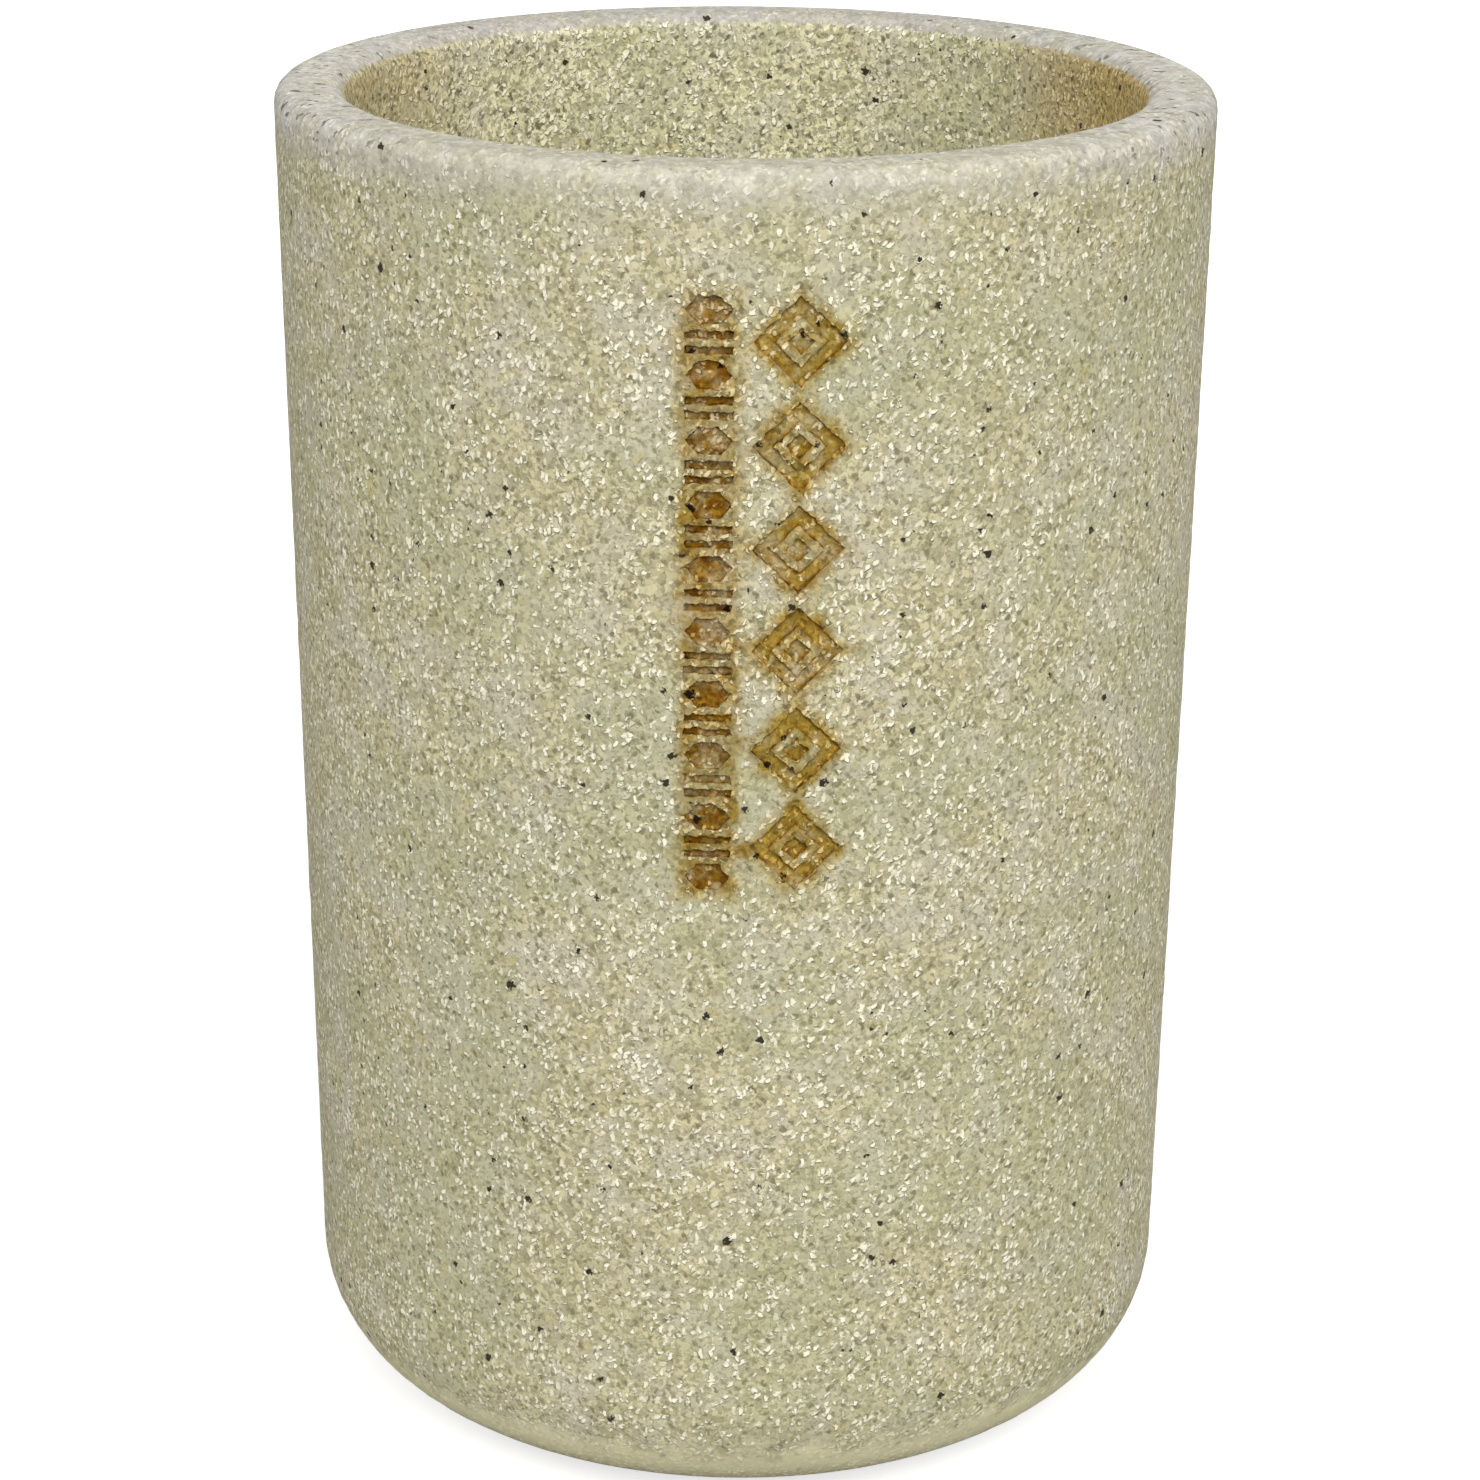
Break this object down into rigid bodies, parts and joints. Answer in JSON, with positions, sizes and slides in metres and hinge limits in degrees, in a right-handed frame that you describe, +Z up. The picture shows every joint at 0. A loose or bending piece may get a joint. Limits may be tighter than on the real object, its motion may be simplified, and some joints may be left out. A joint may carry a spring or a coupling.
{
  "type": "bathroom tumbler",
  "caption": "Round thick-walled tumbler in cast stone-filled resin, slightly tapered, with a rounded rim and foot, engraved ornament bands and an anti-slip base pad.",
  "frame": {"origin": "on the tumbler's axis, at the underside of the base pad, where it stands", "axes": "+Z up along the axis towards the open rim, the engraved bands face -Y, +X to the right as seen from the front"},
  "size_m": [0.07, 0.07, 0.1037],
  "materials": {
    "stone_resin": "matt cast resin filled with sand-coloured grit and a few black flecks",
    "golden_stain": "thin wiped pigment, golden brown",
    "brown_stain": "thin wiped pigment, dark brown",
    "adhesive": "milky double-sided film",
    "foam_pad": "fine closed-cell foam"
  },
  "bodies": {
    "root": {"tumbler_body": "stone_resin", "wide_band_stain": "golden_stain", "narrow_band_stain": "brown_stain", "pad_adhesive": "adhesive", "base_pad": "foam_pad"}
  },
  "joints": []
}
